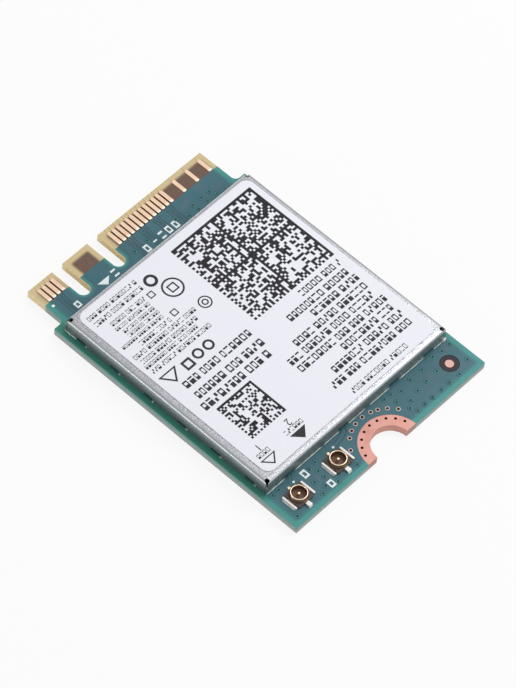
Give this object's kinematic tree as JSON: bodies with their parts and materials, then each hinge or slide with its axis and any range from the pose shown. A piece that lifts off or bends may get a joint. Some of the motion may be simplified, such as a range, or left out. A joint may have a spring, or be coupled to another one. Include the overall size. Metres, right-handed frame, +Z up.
{
  "type": "wireless network card",
  "caption": "Small wireless network card: a keyed edge-connector board with a labelled shield can, a half-round screw notch and antenna receptacles.",
  "frame": {"origin": "middle of the board's outline, on the underside", "axes": "+Z up from the underside through the shield can, +Y towards the contact edge, X across the card with the first contact at -X"},
  "size_m": [0.022, 0.03, 0.0022],
  "materials": {
    "solder_mask": "satin teal-green solder mask over glass-fibre laminate",
    "contact_gold": "thin gold plating, satin",
    "bare_copper": "matt salmon copper",
    "tinned_sheet": "satin tinned sheet, finely speckled",
    "label_film": "smooth white printed film",
    "plated_shell": "thin gold plating on sheet",
    "dark_moulding": "dark moulded plastic",
    "chip_moulding": "matt black moulding",
    "solder_tin": "bright tin",
    "pale_ceramic": "matt pale ceramic",
    "tan_ceramic": "matt tan ceramic",
    "grey_ferrite": "matt grey ferrite"
  },
  "bodies": {
    "root": {"circuit_board": "solder_mask", "contacts_top": "contact_gold", "contacts_bottom": "contact_gold", "screw_land": "bare_copper", "ground_vias": "bare_copper", "fiducial": "bare_copper", "shield_can": "tinned_sheet", "label": "label_film", "aux_antenna_shell": "plated_shell", "aux_antenna_contact": "contact_gold", "aux_antenna_insulator": "dark_moulding", "main_antenna_shell": "plated_shell", "main_antenna_contact": "contact_gold", "main_antenna_insulator": "dark_moulding", "radio_chip": "chip_moulding", "radio_chip_leads": "solder_tin", "front_end_module_low": "chip_moulding", "front_end_module_high": "chip_moulding", "crystal_base": "pale_ceramic", "crystal_lid": "tinned_sheet", "power_inductor_bodies": "grey_ferrite", "power_inductor_ends": "solder_tin", "band_filter_bodies": "pale_ceramic", "band_filter_ends": "solder_tin", "capacitor_bodies": "tan_ceramic", "capacitor_ends": "solder_tin", "resistor_bodies": "chip_moulding", "resistor_ends": "solder_tin"}
  },
  "joints": []
}
